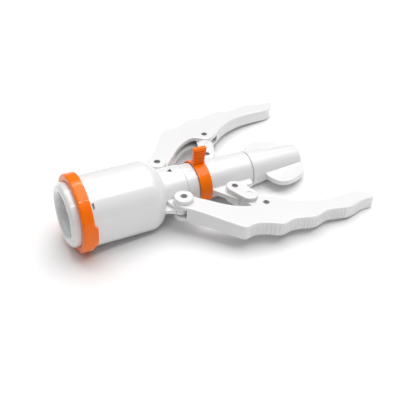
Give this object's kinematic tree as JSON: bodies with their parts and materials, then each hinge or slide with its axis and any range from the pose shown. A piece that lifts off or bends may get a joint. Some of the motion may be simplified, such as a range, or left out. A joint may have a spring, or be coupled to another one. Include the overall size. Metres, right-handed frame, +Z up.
{
  "type": "circular surgical stapler",
  "caption": "Circular stapler: open bell on a draw rod, barrel body with orange front ring, two squeeze handles with links, lift-off orange safety clip and winged closing knob.",
  "frame": {"origin": "centre of the bell's open mouth, in the plane of its rounded lip", "axes": "+X along the instrument's axis from the bell mouth back to the knob; +Z up, the way the safety clip lifts off; the handles open towards +Y and -Y"},
  "size_m": [0.1774, 0.13, 0.0493],
  "materials": {
    "white_plastic": "smooth glossy moulded plastic",
    "orange_plastic": "smooth glossy moulded plastic",
    "ivory_plastic": "plain moulded plastic",
    "inner_plastic": "plain moulded plastic",
    "grey_plastic": "plain moulded plastic",
    "dark_ink": "printed fill, flush in its recess",
    "steel": "drawn and turned stainless steel",
    "dark_steel": "darker pin steel",
    "staple_wire": "fine drawn wire",
    "aluminium": "drawn tube",
    "brass": "turned brass"
  },
  "bodies": {
    "frame_body": {"housing": "white_plastic", "front_ring": "orange_plastic", "index_mark": "dark_ink", "staple_cartridge": "inner_plastic", "staples": "staple_wire", "guide_tube": "white_plastic", "core_tube": "aluminium", "knob_bearing": "inner_plastic", "pivot_pins": "dark_steel"},
    "bell_body": {"bell": "white_plastic", "anvil_ring": "steel", "cutting_washer": "ivory_plastic", "bell_nut": "steel", "draw_rod": "steel", "rod_key": "dark_steel"},
    "slider_body": {"slider_sleeve": "white_plastic", "slider_pins": "dark_steel", "drive_keys": "steel", "push_tube": "grey_plastic", "staple_pusher": "grey_plastic", "blade_holder": "grey_plastic", "ring_blade": "steel", "return_spring": "steel"},
    "knob_body": {"knob": "white_plastic", "knob_nut": "brass", "retainer_ring": "steel"},
    "left_handle_body": {"handle_left": "white_plastic", "handle_pin_left": "dark_steel"},
    "right_handle_body": {"handle_right": "white_plastic", "handle_pin_right": "dark_steel"},
    "left_link_body": {"link_left": "white_plastic"},
    "right_link_body": {"link_right": "white_plastic"},
    "clip_body": {"safety_clip": "orange_plastic"}
  },
  "joints": [
    {"name": "left_squeeze", "type": "hinge", "parent": "frame_body", "child": "left_handle_body", "pos_m": [0.0686, -0.0196, 0], "axis": [0, 0, 1], "range_deg": [0, 12]},
    {"name": "right_squeeze", "type": "hinge", "parent": "frame_body", "child": "right_handle_body", "pos_m": [0.0686, 0.0196, 0], "axis": [0, 0, -1], "range_deg": [0, 12]},
    {"name": "slider_stroke", "type": "slide", "parent": "frame_body", "child": "slider_body", "axis": [-1, 0, 0], "range_m": [0, 0.0077], "stiffness_N_per_m": 800, "springref_m": -0.004, "deforming": ["return_spring"]},
    {"name": "left_link_turn", "type": "hinge", "parent": "slider_body", "child": "left_link_body", "pos_m": [0.10365, -0.019, 0], "axis": [0, 0, 1], "range_deg": [0, 36.2]},
    {"name": "right_link_turn", "type": "hinge", "parent": "slider_body", "child": "right_link_body", "pos_m": [0.10365, 0.019, 0], "axis": [0, 0, -1], "range_deg": [0, 36.2]},
    {"name": "clip_lift", "type": "slide", "parent": "slider_body", "child": "clip_body", "axis": [0, 0, 1], "range_m": [0, 0.04]},
    {"name": "knob_turn", "type": "hinge", "parent": "frame_body", "child": "knob_body", "pos_m": [0.14, 0, 0], "axis": [1, 0, 0], "range_deg": [0, 1170]},
    {"name": "bell_travel", "type": "slide", "parent": "frame_body", "child": "bell_body", "axis": [-1, 0, 0], "range_m": [0, 0.013]}
  ],
  "couplings": [
    {"joint": "left_squeeze", "follows": "slider_stroke", "rad_per_m": 27.199},
    {"joint": "right_squeeze", "follows": "slider_stroke", "rad_per_m": 27.199},
    {"joint": "left_link_turn", "follows": "slider_stroke", "rad_per_m": 81.82},
    {"joint": "right_link_turn", "follows": "slider_stroke", "rad_per_m": 81.82},
    {"joint": "knob_turn", "follows": "bell_travel", "rad_per_m": 1570.8}
  ]
}
